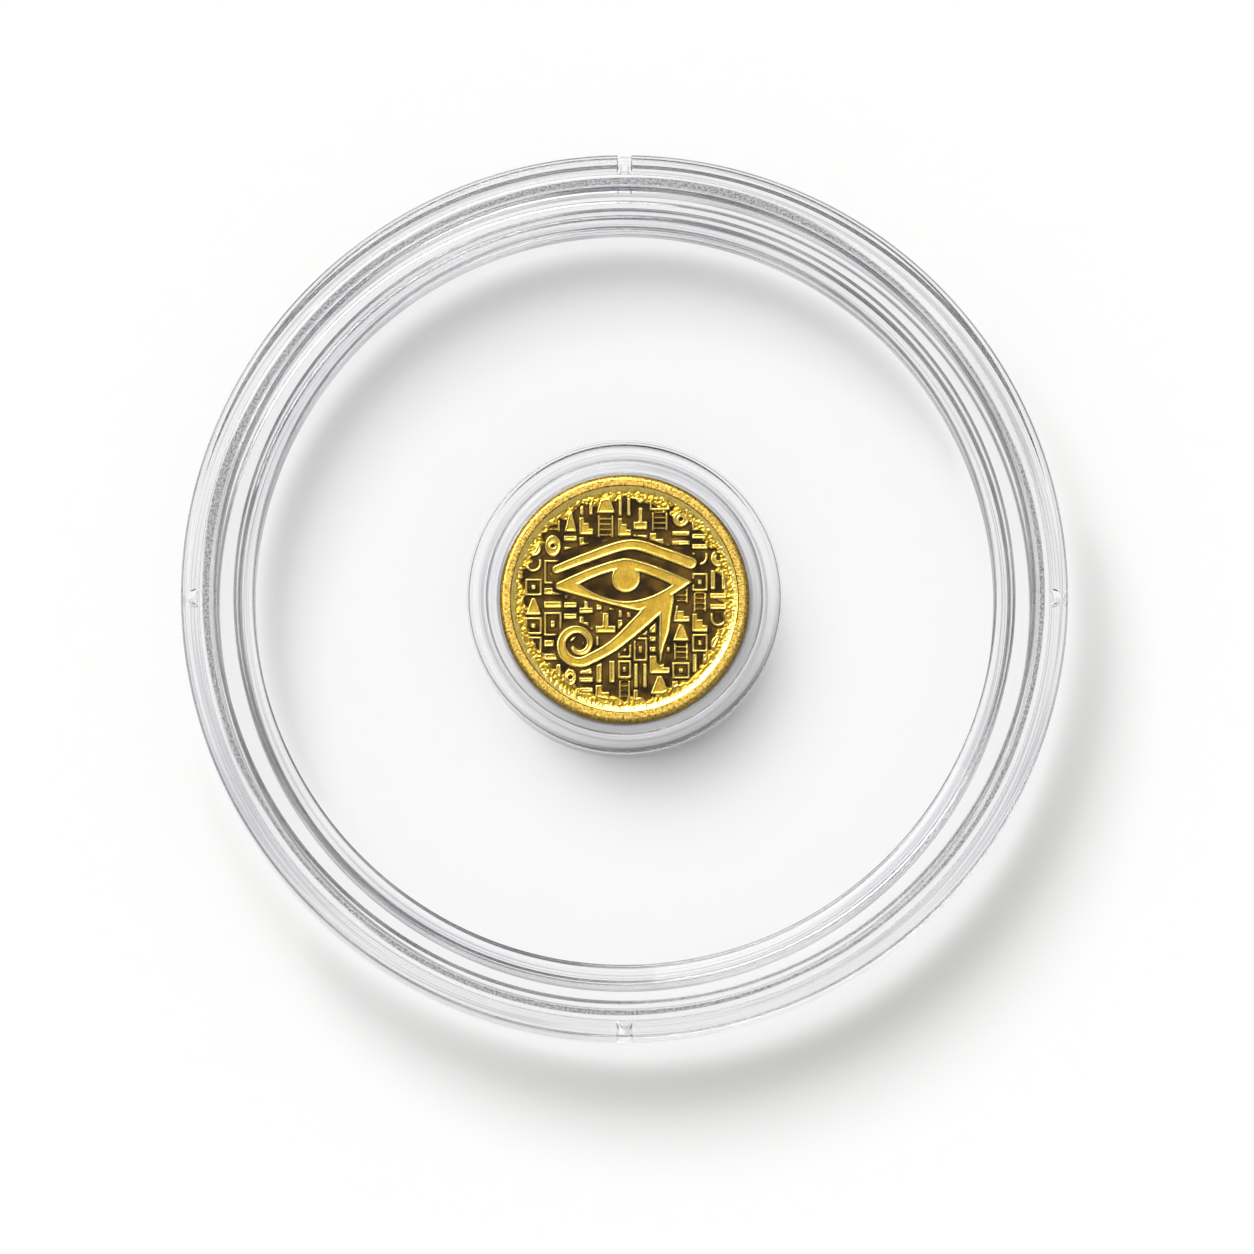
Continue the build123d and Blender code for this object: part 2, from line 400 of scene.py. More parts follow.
on_spigot = np.abs(base_outline[:, 0] - SPIGOT_RADIUS) < NEAR_WALL
on_spigot &= base_outline[:, 1] < KEY_TOP - KEY_SLOPE / 2
base_slots = row_slots(base_outline, base_bend, large_angles, (SHOULDER, RING_TOP))
base_radius, base_height = ((base_outline[:-1] + base_outline[1:]) / 2).T
outside_lands = (base_radius > RIM_CLEAR) | (base_radius < RING_CLEAR)
base_slots[outside_lands & (base_slots[:, 0] == LAND)] = CLEAR
base_slots[base_height > SPIGOT_TOP - EASE] = SPIGOT_TOP_SLOT
nearest_lamp = np.cos(large_angles - SHADE_TURN) < 0
well_wall = (base_radius < WELL_RADIUS + CORNER_ROUND) & (base_slots[:, 0] == WALL)
base_slots[well_wall[:, None] & nearest_lamp[None, :]] = BASE_DUSK_SLOT
outer_base = turned("outer_base_shell", base_outline, base_slots, large_angles,
                    bulge=key_bulge(large_angles), bulging=on_spigot, gate=True)
dress(outer_base, base_window, base_wall, base_corner_painted_shade, base_land_painted_shade, key_wall, spigot_top_painted_shade, base_dusk)
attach(outer_base, "outer_base")
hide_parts("outer_base")


# ---------------------------------------------------------------- large lid
# The upper half of the display capsule, moulded in the same clear polystyrene. Its skirt drops over
# the spigot with 0.05 mm to spare, and four slots in the skirt slide down over the keys. Heights that
# mirror the base's are measured down from the top.
JOINT_GAP = 0.01
LARGE_HEIGHT = 10.9
SKIRT_BORE = SPIGOT_RADIUS + 0.05
LID_FOOT = SHOULDER + JOINT_GAP
ROOF = LARGE_HEIGHT - LARGE_FLOOR
SEAT_ROOF = LARGE_HEIGHT - SEAT_FLOOR
RING_FOOT = LARGE_HEIGHT - RING_TOP
CHANNEL_ROOF = LARGE_HEIGHT - CHANNEL_FLOOR
LEDGE_TOP = LARGE_HEIGHT - LEDGE_FOOT
WINDOW_TOP = LARGE_HEIGHT - WINDOW_FOOT
WINDOW_EDGE = 35.6
WINDOW_ROUND = 0.5
KEY_GAP = 0.08
SLOT_TOP = KEY_TOP + KEY_GAP
SLOT_SLOPE = 0.08
DUSK_SLOT = 5
DARK_SLOT = 6
DUSK_SPAN = 0.25

lid_window = clear_plastic(
    "large_lid_window", tint=(0.998, 0.998, 1.0), shade=(0.998, 0.998, 0.998),
    wave_mm=9.0, wave_depth=0.0004, ior=1.2)
lid_wall = clear_plastic(
    "large_lid_wall", tint=(0.995, 0.995, 1.0), shade=(0.92, 0.92, 0.92), wave_mm=3.0, wave_depth=0.001)
# Painted shade: the very dark tint on tight corners draws the dark lines that clear corners show.
lid_corner_painted_shade = clear_plastic(
    "large_lid_corner", tint=(0.12, 0.12, 0.14), shade=(0.97, 0.97, 0.97), wave_mm=1.2, wave_depth=0.001)
# Painted shade: the tint draws fine dark rings on the flat lands, where grey lines show.
lid_land_painted_shade = clear_plastic(
    "large_lid_land", tint=(0.78, 0.78, 0.82), shade=(0.99, 0.99, 0.99),
    wave_mm=0.8, wave_depth=0.002, blur=0.05, ior=1.35, fineness=6.0)
lid_dusk = clear_plastic(
    "large_lid_dusk", tint=(0.995, 0.995, 1.0), shade=(0.6, 0.6, 0.59), wave_mm=3.0, wave_depth=0.001)
lid_dark = clear_plastic(
    "large_lid_dark", tint=(0.995, 0.995, 1.0), shade=(0.3, 0.3, 0.295), wave_mm=3.0, wave_depth=0.001)

lid_outline, lid_bend = rounded([
    (0, SEAT_ROOF, 0), (SEAT_RADIUS, SEAT_ROOF, EASE), (SEAT_RADIUS, ROOF, EASE),
    (WELL_RADIUS, ROOF, CORNER_ROUND), (WELL_RADIUS, RING_FOOT, CORNER_ROUND),
    (LEDGE_INNER, RING_FOOT, CORNER_ROUND), (LEDGE_INNER, CHANNEL_ROOF, CORNER_ROUND),
    (SKIRT_BORE, CHANNEL_ROOF, 0), (SKIRT_BORE, SLOT_TOP + SLOT_SLOPE, 0), (SKIRT_BORE, SLOT_TOP, 0),
    (SKIRT_BORE, LID_FOOT, 0), (LARGE_RADIUS, LID_FOOT, EASE), (LARGE_RADIUS, LARGE_HEIGHT, EDGE_ROUND),
    (RIM_INNER, LARGE_HEIGHT, CORNER_ROUND), (RIM_INNER, LEDGE_TOP, CORNER_ROUND),
    (LEDGE_INNER, LEDGE_TOP, CORNER_ROUND), (WINDOW_EDGE, WINDOW_TOP, WINDOW_ROUND), (0, WINDOW_TOP, 0)])
in_skirt = np.abs(lid_outline[:, 0] - SKIRT_BORE) < NEAR_WALL
in_skirt &= lid_outline[:, 1] < SLOT_TOP + SLOT_SLOPE / 2
lid_slots = row_slots(lid_outline, lid_bend, large_angles, (LID_FOOT, RING_FOOT))
# The window's rounded edge gets the corners' painted shade too.
lid_slots[lid_bend == WINDOW_ROUND] = CORNER
facing = np.cos(large_angles - SHADE_TURN)[None, :]
sideways = np.abs(facing) < DUSK_SPAN
outside_wall = (lid_slots == WALL) & (lid_outline[:-1, :1] > LARGE_RADIUS - 0.5)
inside_wall = (lid_slots == WALL) & (lid_outline[:-1, :1] < WELL_RADIUS + 0.3)
away_shades = np.where(sideways, DUSK_SLOT, np.where(facing > 0, DARK_SLOT, WALL))
lamp_shades = np.where(sideways, DUSK_SLOT, np.where(facing < 0, DARK_SLOT, WALL))
lid_slots = np.where(outside_wall, away_shades, lid_slots)
lid_slots = np.where(inside_wall, lamp_shades, lid_slots)
outer_lid = turned("outer_lid_shell", lid_outline, lid_slots, large_angles,
                   bulge=key_bulge(large_angles, KEY_GAP), bulging=in_skirt, gate=True)
dress(outer_lid, lid_window, lid_wall, lid_corner_painted_shade, lid_land_painted_shade, key_wall, lid_dusk, lid_dark)
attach(outer_lid, "outer_lid")
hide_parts("outer_lid")


# ---------------------------------------------------------------- small base
# The lower half of the coin's own capsule: a window, the well that fits the coin, and the spigot wall
# round it. It stands in the shallow seat of the large base.
SMALL_FOOT = SEAT_FLOOR + JOINT_GAP
SMALL_RADIUS = 15.0
SMALL_SPIGOT = 13.75
SMALL_RIM_INNER = 13.2
COIN_WELL = 12.15
SMALL_RIM_RISE = 0.5
SMALL_FLOOR = 1.8
SMALL_SHOULDER = 2.4
SMALL_SPIGOT_TOP = 4.1
SMALL_EDGE_ROUND = 0.45
SMALL_CORNER_ROUND = 0.12
SMALL_EASE = 0.04
SMALL_TURN_STEPS = 512

small_angles = np.linspace(-math.pi, math.pi, SMALL_TURN_STEPS, endpoint=False)
small_window = clear_plastic(
    "small_window", tint=(0.998, 0.998, 1.0), shade=(0.995, 0.995, 0.995),
    wave_mm=6.0, wave_depth=0.0004, ior=1.2)
small_wall = clear_plastic(
    "small_base_wall", tint=(0.995, 0.995, 1.0), shade=(0.97, 0.97, 0.97), wave_mm=2.0, wave_depth=0.001)
# Painted shade: the dark tint on tight corners draws the dark lines that clear corners show.
small_corner_painted_shade = clear_plastic(
    "small_corner_painted_shade", tint=(0.3, 0.3, 0.32), shade=(0.95, 0.95, 0.95), wave_mm=0.8, wave_depth=0.001)
# Painted shade: the tint draws fine dark rings on the small capsule's lands, which are also milky.
small_land_painted_shade = clear_plastic(
    "small_land_painted_shade", tint=(0.75, 0.75, 0.79), shade=(0.97, 0.97, 0.97),
    wave_mm=0.8, wave_depth=0.003, blur=0.25, ior=1.35, clear=0.66, fineness=5.0)


def lifted(corners, height):
    """The same corners, standing at a height."""
    return [(radius, z + height, rounding) for radius, z, rounding in corners]


small_base_outline, small_base_bend = rounded(lifted([
    (0, SMALL_RIM_RISE, 0), (SMALL_RIM_INNER, SMALL_RIM_RISE, SMALL_CORNER_ROUND),
    (SMALL_RIM_INNER, 0, SMALL_CORNER_ROUND), (SMALL_RADIUS, 0, SMALL_EDGE_ROUND),
    (SMALL_RADIUS, SMALL_SHOULDER, SMALL_EASE), (SMALL_SPIGOT, SMALL_SHOULDER, 0),
    (SMALL_SPIGOT, SMALL_SPIGOT_TOP, SMALL_CORNER_ROUND),
    (COIN_WELL, SMALL_SPIGOT_TOP, SMALL_CORNER_ROUND), (COIN_WELL, SMALL_FLOOR, SMALL_CORNER_ROUND),
    (0, SMALL_FLOOR, 0)], SMALL_FOOT))
small_base_slots = row_slots(
    small_base_outline, small_base_bend, small_angles, (SMALL_FOOT + SMALL_SPIGOT_TOP,))
inner_base = turned("inner_base_shell", small_base_outline, small_base_slots, small_angles)
dress(inner_base, small_window, small_wall, small_corner_painted_shade, small_land_painted_shade)
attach(inner_base, "inner_base")
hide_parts("inner_base")


# ---------------------------------------------------------------- small lid
# The upper half of the coin's capsule, a window with a skirt that grips the small spigot.
LID_LIFT = SMALL_FOOT + JOINT_GAP
SMALL_BORE = SMALL_SPIGOT + 0.05
SMALL_ROOF = 4.2
SMALL_WINDOW_TOP = 5.5
SMALL_TOP = 5.98
small_skirt = clear_plastic(
    "small_lid_wall", tint=(0.995, 0.995, 1.0), shade=(0.82, 0.82, 0.82), wave_mm=2.0, wave_depth=0.001)
small_lid_outline, small_lid_bend = rounded(lifted([
    (0, SMALL_ROOF, 0), (SMALL_BORE, SMALL_ROOF, 0), (SMALL_BORE, SMALL_SHOULDER, 0),
    (SMALL_RADIUS, SMALL_SHOULDER, SMALL_EASE), (SMALL_RADIUS, SMALL_TOP, SMALL_EDGE_ROUND),
    (SMALL_RIM_INNER, SMALL_TOP, SMALL_CORNER_ROUND),
    (SMALL_RIM_INNER, SMALL_WINDOW_TOP, SMALL_CORNER_ROUND), (0, SMALL_WINDOW_TOP, 0)], LID_LIFT))
small_lid_slots = row_slots(small_lid_outline, small_lid_bend, small_angles, (LID_LIFT + SMALL_TOP,))
inner_lid = turned("inner_lid_shell", small_lid_outline, small_lid_slots, small_angles)
dress(inner_lid, small_window, small_skirt, small_corner_painted_shade, small_land_painted_shade)
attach(inner_lid, "inner_lid")
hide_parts("inner_lid")


# ---------------------------------------------------------------- coin blank
# The coin's struck blank: gold-plated, with a reeded edge, a raised rim on both faces and a plain
# reverse. The front face is a separate piece, struck in relief.
COIN_RADIUS = 12.0
COIN_FOOT = SMALL_FOOT + SMALL_FLOOR + JOINT_GAP
COIN_TOP = COIN_FOOT + 2.17
BEVEL = 0.15
RIM_WIDTH = 1.05
REVERSE_DROP = 0.22
REEDS = 120
STEPS_PER_REED = 6
REED_DEPTH = 0.05
FACE_RADIUS = 10.9
FIELD_DROP = 0.3

field_foot = COIN_TOP - FIELD_DROP - 0.05
reed_foot = COIN_FOOT + 2 * BEVEL
reed_top = COIN_TOP - 0.4
reed_angles = np.linspace(-math.pi, math.pi, REEDS * STEPS_PER_REED, endpoint=False)
blank_outline, blank_bend = rounded([
    (0, COIN_FOOT + REVERSE_DROP, 0), (10.6, COIN_FOOT + REVERSE_DROP, 0.1),
    (COIN_RADIUS - RIM_WIDTH, COIN_FOOT, 0.1), (COIN_RADIUS - BEVEL, COIN_FOOT, 0.1),
    (COIN_RADIUS, COIN_FOOT + BEVEL, 0.05), (COIN_RADIUS, reed_foot, 0), (COIN_RADIUS, reed_top, 0),
    (COIN_RADIUS, COIN_TOP - 0.22, 0.1), (11.72, COIN_TOP - 0.03, 0.1), (11.55, COIN_TOP, 0.05),
    (11.0, COIN_TOP, 0.06), (FACE_RADIUS - 0.06, COIN_TOP - 0.25, 0.05),
    (FACE_RADIUS - 0.25, field_foot, 0.05), (0, field_foot, 0)])
on_edge = blank_outline[:, 0] > COIN_RADIUS - 0.02
on_edge &= (blank_outline[:, 1] > reed_foot - 0.1) & (blank_outline[:, 1] < reed_top + 0.1)
reeding = -REED_DEPTH * (0.5 - 0.5 * np.cos(REEDS * reed_angles))
blank_slots = np.zeros((len(blank_bend), len(reed_angles)), int)
coin_blank = turned("coin_blank", blank_outline, blank_slots, reed_angles, reeding, on_edge)


def struck_gold(name):
    """Gold plate on the rim: fine strokes and pits, worn bright on their crests, and darker towards the
    outer edge.
    """
    finish = Finish(name)
    x, y, distance = finish.polar()
    angle = y.maths("ARCTAN2", y, x)
    along = finish.node("CombineXYZ", None, {0: angle * 75.0, 1: distance * 2.4, 2: 0.0})
    sockets = {"Vector": along, "Scale": 1.0, "Detail": 3.0}
    strokes = finish.node("TexNoise", {"noise_dimensions": "3D"}, sockets)
    pits = finish.noise(0.22, 3.0)
    tone = (strokes * 0.55 + pits * 0.45).clipped(0.38, 0.62)
    worn = finish.mix(tone, (0.2, 0.115, 0.012, 1), (0.74, 0.51, 0.105, 1))
    colour = finish.mix(distance.clipped(11.75, 12.0), worn, (0.24, 0.14, 0.015, 1))
    height = strokes * 0.5 + pits * 0.6
    bump = finish.node("Bump", None, {"Strength": 0.9, "Distance": 0.05 * MM, "Height": height})
    body = finish.node("BsdfPrincipled", None, {
        "Base Color": colour, "Metallic": 1.0, "Roughness": 0.42 - 0.14 * tone, "Normal": bump})
    return finish.surface(body)


dress(coin_blank, struck_gold("coin_rim_gold"))
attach(coin_blank, "coin")
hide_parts("coin")


# ---------------------------------------------------------------- coin face
# The struck front: a plain emblem of an eye over rows of small geometric marks, raised from a dark
# field inside a stippled border. Every raised shape has a lip round a slightly lower top, coloured
# bright: worn gold, with a painted highlight.
FACE_STEPS = 314
SLAB_DEPTH = 0.09
LIP_WIDTH = 0.17
SLOPE_WIDTH = 0.09
LIP_DROP = 0.05
TOP_DROP = 0.1
MARKS_RADIUS = 9.9
MARKS_GAP = 0.24
BORDER_INNER = 9.5
BORDER_DROP = 0.15
COVE_INNER = 10.35
COVE_RISE = 0.12


def disc_grid(steps, radius):
    """A square grid pressed into a disc: square ring k becomes circle k, with even arcs.

    The larger of |u| and |v| gives the distance from the centre, and the smaller over the larger
    gives the angle within an eighth of a turn.
    """
    side = np.linspace(-1, 1, steps)
    u, v = np.meshgrid(side, side, indexing="ij")
    wide = np.abs(u) >= np.abs(v)
    safe_u = np.where(u == 0, 1e-9, u)
    safe_v = np.where(v == 0, 1e-9, v)
    reach = np.where(wide, u, v)
    angle = np.where(wide, math.pi / 4 * v / safe_u, math.pi / 2 - math.pi / 4 * u / safe_v)
    return radius * reach * np.cos(angle), radius * reach * np.sin(angle)


def smooth(value, low, high):
    """0 below low, 1 above high, with a smooth rise between."""
    share = np.clip((value - low) / (high - low), 0, 1)
    return share * share * (3 - 2 * share)


def curve_through(points, steps=14):
    """Points along a smooth curve through the given ones (Catmull-Rom spans)."""
    knots = np.array(points, float)
    knots = np.concatenate([2 * knots[:1] - knots[1:2], knots, 2 * knots[-1:] - knots[-2:-1]])
    t = np.linspace(0, 1, steps, endpoint=False)[None, :, None]
    a, b, c, d = (knots[k:len(knots) - 3 + k, None] for k in range(4))
    spans = 0.5 * (2 * b + (c - a) * t + (2 * a - 5 * b + 4 * c - d) * t ** 2
                   + (3 * b - 3 * c + d - a) * t ** 3)
    return np.concatenate([spans.reshape(-1, knots.shape[1]), knots[-2:-1]])


def band(x, y, path):
    """Signed distance to a band along a path of (x, y, half width); inside is negative.

    The distance to each straight span is to the nearest point of it, less the half width there.
    """
    nearest = np.full(x.shape, np.inf)
    for (x0, y0, w0), (x1, y1, w1) in zip(path[:-1], path[1:]):
        run, rise = x1 - x0, y1 - y0
        along = np.clip(((x - x0) * run + (y - y0) * rise) / (run ** 2 + rise ** 2 + 1e-12), 0, 1)
        gap = np.hypot(x - x0 - along * run, y - y0 - along * rise)
        nearest = np.minimum(nearest, gap - w0 - along * (w1 - w0))
    return nearest


def emblem(x, y):
    """Signed distances in millimetres to the eye emblem, and to the plain ground it keeps clear.

    The shapes are drawn in units of the coin's radius. The eye's body lies between an arch and a keel,
    powers of the distance from its middle, less an almond opening with a round iris. The brow, stem,
    spike and curl are bands along smooth curves, and the curl's reach shrinks as it turns.
    """
    u, v = x / COIN_RADIUS, y / COIN_RADIUS
    brow = band(u, v, curve_through([
        (-0.545, 0.238, 0.036), (-0.3, 0.333, 0.042), (0.04, 0.437, 0.045), (0.3, 0.372, 0.047),
        (0.53, 0.288, 0.05)]))
    arch = 0.332 - 0.2 * (np.abs(u - 0.01) / 0.55) ** 1.35
    keel = -0.1 + 0.175 * (np.abs(u - 0.12) / 0.66) ** 1.15
    keel = np.where(u > 0.12, -0.1 + 0.24 * (np.maximum(u - 0.12, 0) / 0.43) ** 1.3, keel)
    body = np.maximum(np.maximum(v - arch, keel - v) * 0.93, np.abs(u) - 0.55)
    roof = 0.232 - 0.118 * (np.abs(u - 0.005) / 0.366) ** 1.6
    floor = -0.014 + 0.13 * (np.abs(u - 0.015) / 0.366) ** 1.9
    opening = np.maximum(v - roof, floor - v) * 0.9
    iris = np.hypot(u - 0.012, v - 0.168) - 0.118
    under_brow = np.maximum(np.abs(v - 0.37 + 0.35 * u * u) - 0.08, np.abs(u) - 0.5)
    ground = np.minimum(body, under_brow)
    body = np.minimum(np.maximum(body, -opening), iris)
    turn = np.radians(np.linspace(-62, -500, 40))
    reach = np.linspace(0.152, 0.052, 40) + 0.012 * np.sin(np.linspace(0, math.pi, 40))
    curl = np.stack([-0.372 + reach * np.cos(turn), -0.362 + reach * np.sin(turn),
                     np.linspace(0.046, 0.019, 40)], axis=1)
    stem = band(u, v, curve_through([
        (0.25, -0.06, 0.075), (0.1, -0.21, 0.062), (-0.1, -0.385, 0.05), tuple(curl[0])]))
    spike = band(u, v, curve_through([
        (0.33, 0.0, 0.07), (0.325, -0.14, 0.05), (0.318, -0.25, 0.044), (0.297, -0.38, 0.024),
        (0.287, -0.5, 0.008)]))
    shape = np.minimum.reduce([brow, body, stem, spike, band(u, v, curl)])
    return shape * COIN_RADIUS, np.minimum(shape, ground) * COIN_RADIUS


def speckle(x, y, size, seed):
    """Even random values, 0 to 1, blended smoothly over square cells of the given size."""
    table = np.random.default_rng(seed).random((256, 256))
    u, v = x / size + 128, y / size + 128
    column, row = np.floor(u).astype(int), np.floor(v).astype(int)
    across, up = smooth(u - column, 0, 1), smooth(v - row, 0, 1)
    low = table[row, column] * (1 - across) + table[row, column + 1] * across
    high = table[row + 1, column] * (1 - across) + table[row + 1, column + 1] * across
    return low * (1 - up) + high * up


def bar(x, y, wide, high):
    """Signed distance to a rectangle of the given half sizes about the origin."""
    return np.maximum(np.abs(x) - wide, np.abs(y) - high)


def small_marks(x, y, seed=11):
    """Signed distance to rows of plain geometric marks, one to a cell of an uneven lattice.

    Columns have uneven widths and each column's rows start at its own height. A seeded table says
    which of the nine marks a cell has. Each is made of bars and rings in the cell's own x and y,
    from -wide to wide and from -high to high.
    """
    draw = np.random.default_rng(seed)
    edges = -11.2 + np.concatenate([[0], np.cumsum(draw.uniform(1.45, 2.2, 15))])
    column = np.clip(np.searchsorted(edges, x) - 1, 0, len(edges) - 2)
    start = draw.uniform(0, 1.5, len(edges))[column]
    pitch = draw.uniform(1.8, 2.6, len(edges))[column]
    climbed = y + COIN_RADIUS - start
    row = np.floor(climbed / pitch).astype(int)
    kind = draw.integers(0, 9, (len(edges), 24))[column, row]
    left, right = edges[column], edges[column + 1]
    x, y = x - (left + right) / 2, climbed - (row + 0.5) * pitch
    wide, high = (right - left) / 2 - 0.08, pitch / 2 - 0.08
    frame_bar = np.abs(bar(x, y, wide - 0.14, high - 0.14)) - 0.14
    panel = np.minimum(frame_bar, bar(x, y, wide * 0.28, high * 0.3))
    posts = bar(np.abs(x) - wide * 0.62, y, wide * 0.3, high)
    rails = bar(np.abs(x) - wide * 0.66, y, 0.13, high)
    ladder = np.minimum(rails, bar(x, (y + high) % 0.52 - 0.26, wide * 0.6, 0.1))
    disc = (np.hypot(x / wide, y / high) - 0.92) * np.minimum(wide, high)
    disc = np.maximum(disc, 0.16 - np.hypot(x, y))
    bowl = np.abs(np.hypot(x, y - high * 0.45) - wide * 0.78) - 0.16
    cup = np.where(y > high * 0.45, bar(np.abs(x) - wide * 0.78, y, 0.16, high), bowl)
    tread = y - high + np.floor((x + wide) / (wide * 0.68)) * high * 0.62
    stair = np.maximum(tread, np.maximum(np.abs(x) - wide, -y - high))
    slabs = bar(x, np.abs(y) - high * 0.55, wide, high * 0.3)
    wedge = np.maximum(np.abs(x) - wide * (0.25 + 0.35 * (1 - y / high)), np.abs(y) - high)
    foot = bar(x, y + high * 0.55, wide, high * 0.35)
    pillar = np.minimum(foot, bar(x, y - high * 0.2, wide * 0.34, high * 0.75))
    return np.choose(kind, [panel, posts, ladder, disc, cup, stair, slabs, wedge, pillar])


def relief(x, y):
    """Height of the struck face above its field in millimetres, with the raised mask and lip mask.

    From a shape's edge inwards the height climbs to the lip, then drops a little to the top. The
    border starts at a ragged circle, is pitted, and slopes up to the rim outside the cove's radius.
    """
    radius = np.hypot(x, y)
    eye, ground = emblem(x, y)
    marks = np.maximum(small_marks(x, y), MARKS_GAP - ground)
    marks = np.maximum(marks, radius - MARKS_RADIUS)
    shape = np.minimum(eye, marks)
    climb = smooth(-shape, -0.02, SLOPE_WIDTH)
    lip = climb * (1 - smooth(-shape, LIP_WIDTH, LIP_WIDTH + 0.08))
    level = climb * (FIELD_DROP - TOP_DROP) + lip * (TOP_DROP - LIP_DROP)
    ragged = 1.1 * (speckle(x, y, 0.9, 5) - 0.5) + 0.5 * (speckle(x, y, 0.3, 6) - 0.5)
    border = smooth(radius + ragged, BORDER_INNER, BORDER_INNER + 0.18)
    pits = smooth(speckle(x, y, 0.17, 8), 0.45, 0.85) * (1 - smooth(radius, 10.3, 10.8))
    border = border * (1 - 0.55 * pits)
    cove = np.clip((radius - COVE_INNER) / (FACE_RADIUS - COVE_INNER), 0, 1)
    level = np.maximum(level, border * (FIELD_DROP - BORDER_DROP + COVE_RISE * cove))
    lip = lip * np.where(eye < marks, 1.0, 0.7)
    # Painted highlight: the cove, the rim's inner slope, counts as lip, so it is coloured bright as if it
    # caught the light.
    return level, np.maximum(climb, border), np.maximum(lip, 0.62 * (cove > 0))


def face_piece():
    """The struck face as a closed slab: the relief on a disc grid, with a flat underside."""
    x, y = disc_grid(FACE_STEPS, FACE_RADIUS)
    level, raised, lip = relief(x, y)
    field = COIN_TOP - FIELD_DROP
    top = np.stack([x, y, field + level], axis=2) * MM
    under = np.stack([x, y, np.full_like(x, field - SLAB_DEPTH)], axis=2) * MM
    corners = FACE_STEPS * FACE_STEPS
    index = np.arange(corners).reshape(FACE_STEPS, FACE_STEPS)
    quads = np.stack([index[:-1, :-1], index[1:, :-1], index[1:, 1:], index[:-1, 1:]], axis=2)
    ring = np.concatenate([index[:-1, 0], index[-1, :-1], index[:0:-1, -1], index[0, :0:-1]])
    low = corners + np.arange(len(ring))
    next_low = np.roll(low, -1)
    wall = np.stack([ring, low, next_low, np.roll(ring, -1)], axis=1)
    fan = np.stack([low, np.full(len(ring), corners + len(ring)), next_low], axis=1)
    middle = [[0, 0, (field - SLAB_DEPTH) * MM]]
    points = np.concatenate([top.reshape(-1, 3), under.reshape(-1, 3)[ring], middle])
    mesh = bpy.data.meshes.new("coin_face")
    sides = np.concatenate([quads.reshape(-1, 4), wall])
    mesh.from_pydata(points.tolist(), [], sides.tolist() + fan.tolist())
    mesh.shade_smooth()
    mesh.set_sharp_from_angle(angle=math.radians(75))
    for label, values in (("raised", raised), ("lip", lip)):
        full = np.zeros(len(points), np.float32)
        full[:corners] = values.ravel()
        mesh.attributes.new(label, "FLOAT", "POINT").data.foreach_set("value", full)
    piece = bpy.data.objects.new("coin_face", mesh)
    bpy.context.scene.collection.objects.link(piece)
    return piece


def face_gold(name):
    """Gold relief over a brown patina: the field is dark, tops are brushed, and lips are bright: worn,
    with a painted highlight.
    """
    finish = Finish(name)
    raised = finish.node("Attribute", {"attribute_name": "raised"}, None, out=2)
    lip = finish.node("Attribute", {"attribute_name": "lip"}, None, out=2)
    grain = finish.noise(0.16, 4.0)
    cloud = finish.noise(1.6, 3.0)
    turned_place = {"Vector": finish.place(), "Rotation": (0, 0, 0.9), "Scale": (1.0, 0.12, 1.0)}
    brush = finish.noise(0.07, 2.0, finish.node("Mapping", None, turned_place))
    tone = (grain * 0.35 + brush * 0.35 + cloud * 0.3).clipped(0.36, 0.66)
    field = finish.mix(cloud.clipped(0.35, 0.7), (0.016, 0.008, 0.001, 1), (0.075, 0.04, 0.005, 1))
    top = finish.mix(tone, (0.36, 0.21, 0.016, 1), (0.66, 0.43, 0.055, 1))
    # The lips are worn bright, and the same colour paints a highlight on them and on the rim's inner
    # slope.
    gold = finish.mix(lip.clipped(0.25, 0.8), top, (1.0, 0.79, 0.2, 1))
    colour = finish.mix(raised.clipped(0.2, 0.75), field, gold)
    height = grain * 0.5 + brush * 0.5
    bump = finish.node("Bump", None, {"Strength": 0.5, "Distance": 0.03 * MM, "Height": height})
    roughness = 0.5 - 0.2 * raised - 0.12 * lip
    body = finish.node("BsdfPrincipled", None, {
        "Base Color": colour, "Metallic": 1.0, "Roughness": roughness, "Normal": bump})
    return finish.surface(body)


coin_face = face_piece()
dress(coin_face, face_gold("coin_face_gold"))
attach(coin_face, "coin")


# ---------------------------------------------------------------- studio
# A pale paper tabletop under a soft lamp from the rear left. The room is brightest high up and greyer
# towards the horizon and straight overhead, so that the clear edges have something to pick up.
TABLE_REACH = 0.8
TABLE_LEVEL = -2e-5
table_mesh = bpy.data.meshes.new("tabletop")
table_corners = [(x, y, TABLE_LEVEL) for x, y in (
    (-TABLE_REACH, -TABLE_REACH), (TABLE_REACH, -TABLE_REACH), (TABLE_REACH, TABLE_REACH),
    (-TABLE_REACH, TABLE_REACH))]
table_mesh.from_pydata(table_corners, [], [(0, 1, 2, 3)])
tabletop = bpy.data.objects.new("tabletop", table_mesh)
bpy.context.scene.collection.objects.link(tabletop)
paper = Finish("tabletop_paper")
fleck = paper.noise(2.5, 3.0)
tabletop.data.materials.append(paper.surface(paper.node("BsdfPrincipled", None, {
    "Base Color": paper.mix(fleck, (0.93, 0.93, 0.93, 1), (0.945, 0.945, 0.945, 1)),
    "Roughness": 0.9, "Specular IOR Level": 0.0})))

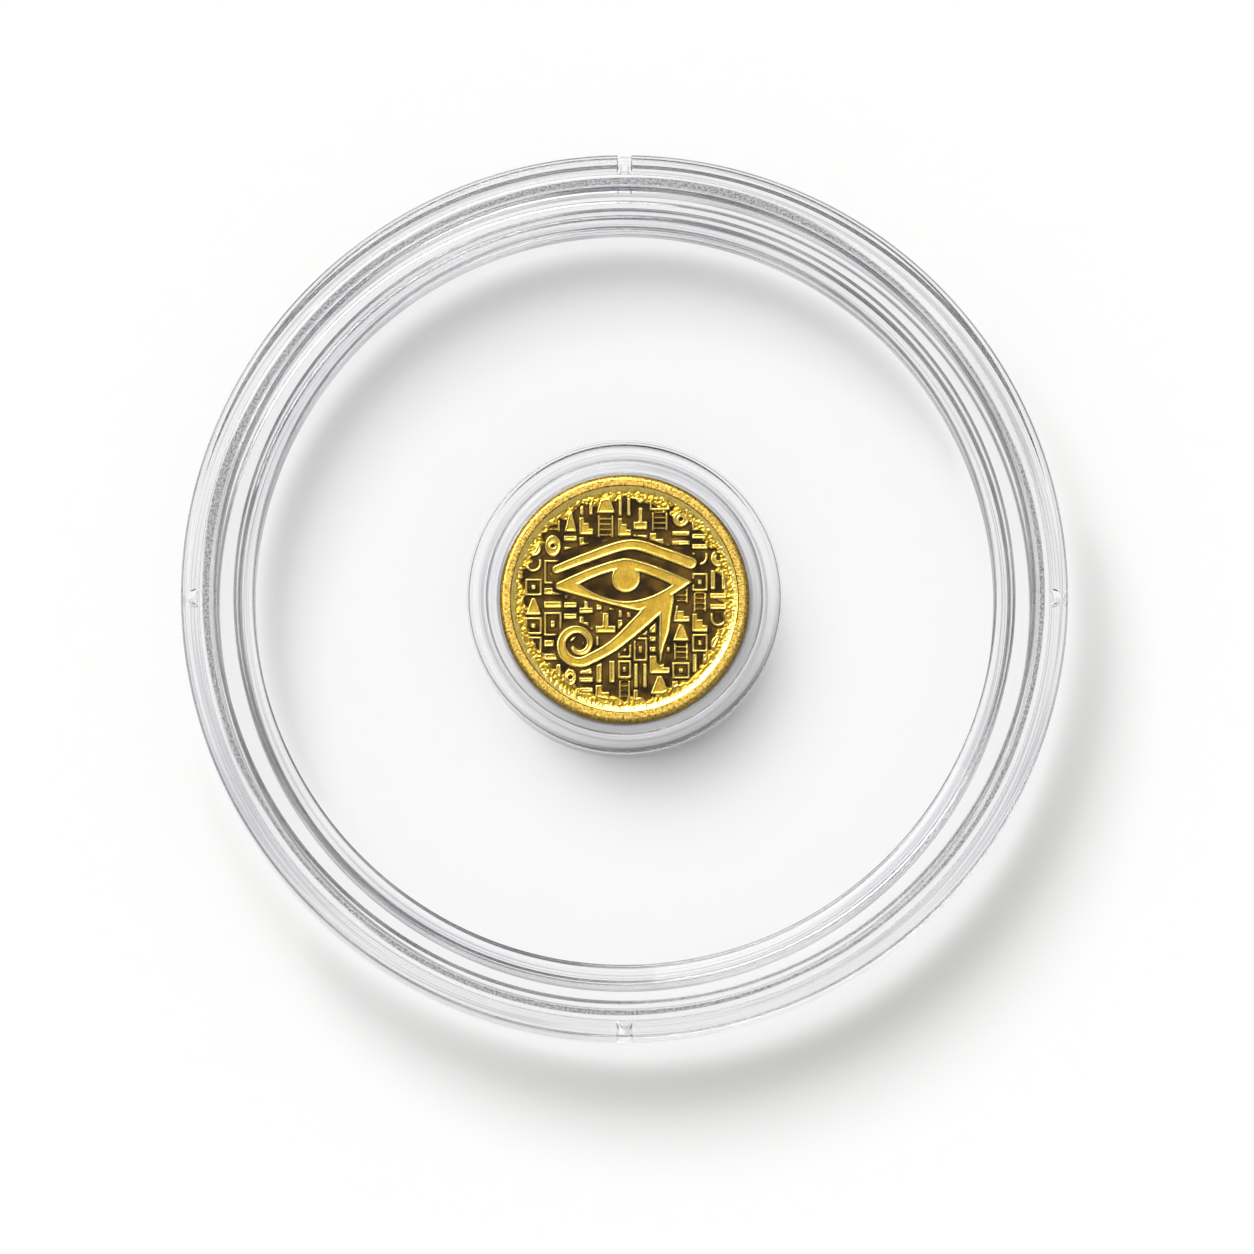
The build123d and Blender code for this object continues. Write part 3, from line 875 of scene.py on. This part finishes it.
LAMP_TILT = math.radians(38)
LAMP_TURN = math.radians(180) + SHADE_TURN
LAMP_STRENGTH = 2.95
LAMP_WIDTH = math.radians(40)
lamp_data = bpy.data.lights.new("soft_lamp", "SUN")
lamp_data.energy = LAMP_STRENGTH
lamp_data.angle = LAMP_WIDTH
lamp = bpy.data.objects.new("soft_lamp", lamp_data)
lamp.rotation_euler = (0, LAMP_TILT, LAMP_TURN)
bpy.context.scene.collection.objects.link(lamp)

world = bpy.data.worlds.new("white_room")
bpy.context.scene.world = world
world.use_nodes = True
room = world.node_tree
room.nodes.clear()
direction = room.nodes.new("ShaderNodeTexCoord")
split = room.nodes.new("ShaderNodeSeparateXYZ")
shades = room.nodes.new("ShaderNodeValToRGB")
light = room.nodes.new("ShaderNodeBackground")
end = room.nodes.new("ShaderNodeOutputWorld")
room.links.new(direction.outputs["Generated"], split.inputs[0])
room.links.new(split.outputs["Z"], shades.inputs["Fac"])
room.links.new(shades.outputs["Color"], light.inputs["Color"])
room.links.new(light.outputs[0], end.inputs["Surface"])
ramp = shades.color_ramp
for position, level in ((0.0, 0.18), (0.2, 0.23), (0.6, 0.26), (0.85, 0.42), (0.975, 0.5)):
    stop = ramp.elements[0] if position == 0 else ramp.elements.new(position)
    stop.position = position
    stop.color = (level, level * 0.995, level * 0.98, 1)
ramp.elements[-1].color = (0.25, 0.25, 0.25, 1)

CAMERA_TILT = math.radians(6)
CAMERA_DISTANCE = 1.5
SENSOR_WIDTH = 36
FRAME_WIDTH = 0.1205
AIM = (0.00024, -0.00258, 0.0054)
camera_data = bpy.data.cameras.new("overhead_camera")
camera_data.sensor_width = SENSOR_WIDTH
camera_data.lens = SENSOR_WIDTH * CAMERA_DISTANCE / FRAME_WIDTH
camera_data.clip_start = 0.01
camera = bpy.data.objects.new("overhead_camera", camera_data)
back = CAMERA_DISTANCE * math.sin(CAMERA_TILT)
up = CAMERA_DISTANCE * math.cos(CAMERA_TILT)
camera.location = (AIM[0], AIM[1] - back, AIM[2] + up)
camera.rotation_euler = (CAMERA_TILT, 0, 0)
bpy.context.scene.collection.objects.link(camera)
bpy.context.scene.camera = camera

scene = bpy.context.scene
scene.view_settings.view_transform = "Standard"
scene.cycles.max_bounces = 24
scene.cycles.transmission_bounces = 24
scene.cycles.transparent_max_bounces = 40
scene.cycles.glossy_bounces = 8
scene.cycles.caustics_reflective = False
scene.cycles.caustics_refractive = False
scene.cycles.use_denoising = True
